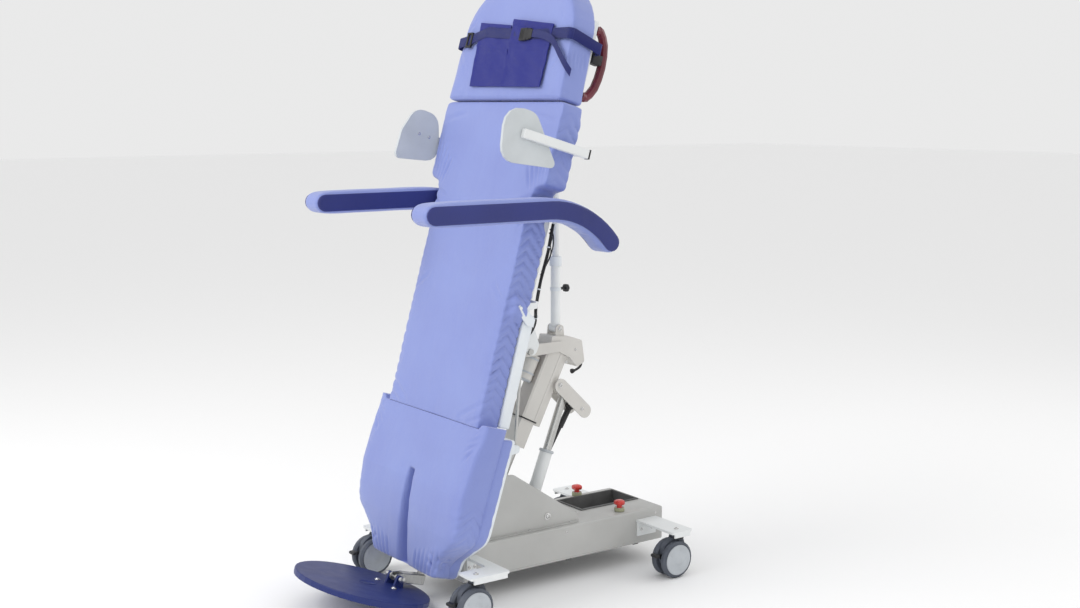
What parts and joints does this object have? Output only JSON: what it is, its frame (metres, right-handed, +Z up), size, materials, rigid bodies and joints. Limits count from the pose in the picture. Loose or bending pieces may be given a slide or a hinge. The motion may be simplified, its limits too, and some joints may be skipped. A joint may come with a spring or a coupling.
{
  "type": "multi-position tilt table",
  "caption": "Powered tilt table on castors, a padded stretcher that folds to a chair and tilts to standing, with armrests, side pads and a footplate.",
  "frame": {"origin": "on the floor under the middle of the bounding box", "axes": "+Z up; -Y the way the patient faces when tilted up; +X the patient's left"},
  "size_m": [0.8, 1.356, 2.0426],
  "materials": {
    "chassis_grey": "satin powder coat",
    "frame_white": "satin powder coat",
    "cover_grey": "satin",
    "steel": "brushed",
    "black_plastic": "matte",
    "tyre": "matte",
    "red_plastic": "gloss",
    "maroon": "gloss",
    "periwinkle": "coated fabric",
    "navy": "coated fabric",
    "footplate_navy": "satin",
    "pad_grey": "satin"
  },
  "bodies": {
    "base": {"base_chassis": "chassis_grey", "deck_tray": "cover_grey", "battery_pack": "black_plastic", "tower_housing": "chassis_grey", "lift_rod": "steel", "castor_bracket_front_left": "frame_white", "castor_bracket_front_right": "frame_white", "castor_bracket_rear_left": "frame_white", "castor_bracket_rear_right": "frame_white"},
    "castor_front_left": {"castor_body_front_left": "tyre"},
    "wheels_front_left": {"castor_wheels_front_left": "tyre"},
    "pedal_front_left": {"brake_pedal_front_left": "black_plastic"},
    "castor_front_right": {"castor_body_front_right": "tyre"},
    "wheels_front_right": {"castor_wheels_front_right": "tyre"},
    "pedal_front_right": {"brake_pedal_front_right": "black_plastic"},
    "castor_rear_left": {"castor_body_rear_left": "tyre"},
    "wheels_rear_left": {"castor_wheels_rear_left": "tyre"},
    "pedal_rear_left": {"brake_pedal_rear_left": "black_plastic"},
    "castor_rear_right": {"castor_body_rear_right": "tyre"},
    "wheels_rear_right": {"castor_wheels_rear_right": "tyre"},
    "pedal_rear_right": {"brake_pedal_rear_right": "black_plastic"},
    "knob_left": {"release_knob_left": "red_plastic"},
    "knob_right": {"release_knob_right": "red_plastic"},
    "stage": {"column_stage": "pad_grey"},
    "lift_head": {"column_cover": "cover_grey", "lift_motor": "cover_grey", "head_block": "cover_grey", "strut_lever": "frame_white", "hose_loop": "black_plastic"},
    "guide_sleeve": {"guide_strut_sleeve": "frame_white"},
    "guide_rod": {"guide_strut_rod": "steel"},
    "spring_body": {"gas_spring_body": "frame_white"},
    "spring_rod": {"gas_spring_rod": "black_plastic"},
    "post_sleeve": {"tilt_post_sleeve": "frame_white", "tilt_post_knob": "black_plastic"},
    "post_inner": {"tilt_post_inner": "frame_white"},
    "back": {"back_frame": "frame_white", "back_cushion": "periwinkle", "tilt_shaft": "steel", "cable_bundle": "black_plastic"},
    "head": {"head_frame": "frame_white", "head_cushion": "periwinkle", "head_pouch": "navy", "head_strap": "navy", "strap_buckle": "black_plastic", "push_handle_left": "maroon", "push_handle_right": "maroon"},
    "armrest_left": {"armrest_left": "periwinkle"},
    "armrest_right": {"armrest_right": "periwinkle"},
    "side_left": {"side_bar_left": "frame_white", "side_pad_left": "pad_grey"},
    "side_right": {"side_bar_right": "frame_white", "side_pad_right": "pad_grey"},
    "seat": {"seat_platform": "frame_white", "seat_cushion": "periwinkle"},
    "leg": {"leg_platform": "frame_white", "leg_cushion": "periwinkle"},
    "link": {"leg_link": "steel"},
    "foot_bracket": {"footplate_bracket": "steel"},
    "foot": {"footplate": "footplate_navy"}
  },
  "joints": [
    {"name": "swivel_front_left", "type": "hinge", "parent": "base", "child": "castor_front_left", "pos_m": [0.32, -0.23698, 0.15], "axis": [0, 0, 1], "continuous": true},
    {"name": "roll_front_left", "type": "hinge", "parent": "castor_front_left", "child": "wheels_front_left", "pos_m": [0.32, -0.25698, 0.065], "axis": [1, 0, 0], "continuous": true},
    {"name": "brake_front_left", "type": "hinge", "parent": "castor_front_left", "child": "pedal_front_left", "pos_m": [0.32, -0.29198, 0.075], "axis": [1, 0, 0], "range_deg": [0, 10]},
    {"name": "swivel_front_right", "type": "hinge", "parent": "base", "child": "castor_front_right", "pos_m": [-0.32, -0.23698, 0.15], "axis": [0, 0, 1], "continuous": true},
    {"name": "roll_front_right", "type": "hinge", "parent": "castor_front_right", "child": "wheels_front_right", "pos_m": [-0.32, -0.25698, 0.065], "axis": [1, 0, 0], "continuous": true},
    {"name": "brake_front_right", "type": "hinge", "parent": "castor_front_right", "child": "pedal_front_right", "pos_m": [-0.32, -0.29198, 0.075], "axis": [1, 0, 0], "range_deg": [0, 10]},
    {"name": "swivel_rear_left", "type": "hinge", "parent": "base", "child": "castor_rear_left", "pos_m": [0.32, 0.59902, 0.15], "axis": [0, 0, 1], "continuous": true},
    {"name": "roll_rear_left", "type": "hinge", "parent": "castor_rear_left", "child": "wheels_rear_left", "pos_m": [0.32, 0.57902, 0.065], "axis": [1, 0, 0], "continuous": true},
    {"name": "brake_rear_left", "type": "hinge", "parent": "castor_rear_left", "child": "pedal_rear_left", "pos_m": [0.32, 0.54402, 0.075], "axis": [1, 0, 0], "range_deg": [0, 10]},
    {"name": "swivel_rear_right", "type": "hinge", "parent": "base", "child": "castor_rear_right", "pos_m": [-0.32, 0.59902, 0.15], "axis": [0, 0, 1], "continuous": true},
    {"name": "roll_rear_right", "type": "hinge", "parent": "castor_rear_right", "child": "wheels_rear_right", "pos_m": [-0.32, 0.57902, 0.065], "axis": [1, 0, 0], "continuous": true},
    {"name": "brake_rear_right", "type": "hinge", "parent": "castor_rear_right", "child": "pedal_rear_right", "pos_m": [-0.32, 0.54402, 0.075], "axis": [1, 0, 0], "range_deg": [0, 10]},
    {"name": "knob_press_left", "type": "slide", "parent": "base", "child": "knob_left", "axis": [0, 0, -1], "range_m": [0, 0.005], "stiffness_N_per_m": 600, "springref_m": -0.003},
    {"name": "knob_press_right", "type": "slide", "parent": "base", "child": "knob_right", "axis": [0, 0, -1], "range_m": [0, 0.005], "stiffness_N_per_m": 600, "springref_m": -0.003},
    {"name": "lift_stage", "type": "slide", "parent": "base", "child": "stage", "axis": [0, 0.454, 0.891], "range_m": [0, 0.06]},
    {"name": "lift_cover", "type": "slide", "parent": "stage", "child": "lift_head", "axis": [0, 0.454, 0.891], "range_m": [-0.001, 0.061]},
    {"name": "guide_swing", "type": "hinge", "parent": "base", "child": "guide_sleeve", "pos_m": [0.014, 0.18302, 0.235], "axis": [1, 0, 0], "range_deg": [-3, 1]},
    {"name": "guide_slide", "type": "slide", "parent": "guide_sleeve", "child": "guide_rod", "axis": [0, 0.3611, 0.9325], "range_m": [-0.002, 0.125]},
    {"name": "spring_swing", "type": "hinge", "parent": "base", "child": "spring_body", "pos_m": [-0.024, 0.18302, 0.235], "axis": [1, 0, 0], "range_deg": [-1, 3]},
    {"name": "spring_slide", "type": "slide", "parent": "spring_body", "child": "spring_rod", "axis": [0, 0.5252, 0.851], "range_m": [-0.002, 0.125]},
    {"name": "post_swing", "type": "hinge", "parent": "lift_head", "child": "post_sleeve", "pos_m": [0, 0.30802, 0.862], "axis": [1, 0, 0], "range_deg": [-92, 1]},
    {"name": "post_slide", "type": "slide", "parent": "post_sleeve", "child": "post_inner", "axis": [0, 0, 1], "range_m": [-0.075, 0.002]},
    {"name": "bed_tilt", "type": "hinge", "parent": "lift_head", "child": "back", "pos_m": [0, 0.16302, 0.8], "axis": [1, 0, 0], "range_deg": [-74, 0]},
    {"name": "head_tilt", "type": "hinge", "parent": "back", "child": "head", "pos_m": [0, 0.18287, 1.6216], "axis": [-1, 0, 0], "range_deg": [0, 25]},
    {"name": "hip_fold", "type": "hinge", "parent": "back", "child": "seat", "pos_m": [0, -0.04784, 0.9959], "axis": [-1, 0, 0], "range_deg": [0, 75]},
    {"name": "knee_fold", "type": "hinge", "parent": "seat", "child": "leg", "pos_m": [0, -0.08558, 0.59068], "axis": [1, 0, 0], "range_deg": [-0.5, 75.5]},
    {"name": "link_swing", "type": "hinge", "parent": "back", "child": "link", "pos_m": [0.2, 0.03281, 0.92107], "axis": [-1, 0, 0], "range_deg": [-0.5, 75.5]},
    {"name": "foot_slide", "type": "slide", "parent": "leg", "child": "foot_bracket", "axis": [0, 0.2746, 0.9616], "range_m": [-0.01, 0.025]},
    {"name": "foot_tilt", "type": "hinge", "parent": "foot_bracket", "child": "foot", "pos_m": [0, -0.34638, 0.08902], "axis": [-1, 0, 0], "range_deg": [-5, 6]},
    {"name": "armrest_drop_left", "type": "hinge", "parent": "back", "child": "armrest_left", "pos_m": [0.3, 0.09042, 1.2973], "axis": [1, 0, 0], "range_deg": [0, 50]},
    {"name": "armrest_drop_right", "type": "hinge", "parent": "back", "child": "armrest_right", "pos_m": [-0.3, 0.09042, 1.2973], "axis": [1, 0, 0], "range_deg": [0, 50]},
    {"name": "side_slide_left", "type": "slide", "parent": "back", "child": "side_left", "axis": [1, 0, 0], "range_m": [0, 0.06]},
    {"name": "side_slide_right", "type": "slide", "parent": "back", "child": "side_right", "axis": [-1, 0, 0], "range_m": [0, 0.06]}
  ],
  "couplings": [
    {"joint": "lift_cover", "follows": "lift_stage", "ratio": 1},
    {"joint": "guide_swing", "follows": "lift_stage", "rad_per_m": -0.378},
    {"joint": "guide_slide", "follows": "lift_stage", "ratio": 1.992},
    {"joint": "spring_swing", "follows": "lift_stage", "rad_per_m": 0.314},
    {"joint": "spring_slide", "follows": "lift_stage", "ratio": 1.995},
    {"joint": "post_swing", "follows": "bed_tilt", "ratio": 1.2277},
    {"joint": "post_slide", "follows": "bed_tilt", "m_per_rad": 0.05427},
    {"joint": "knee_fold", "follows": "hip_fold", "ratio": 1},
    {"joint": "link_swing", "follows": "hip_fold", "ratio": 1}
  ]
}
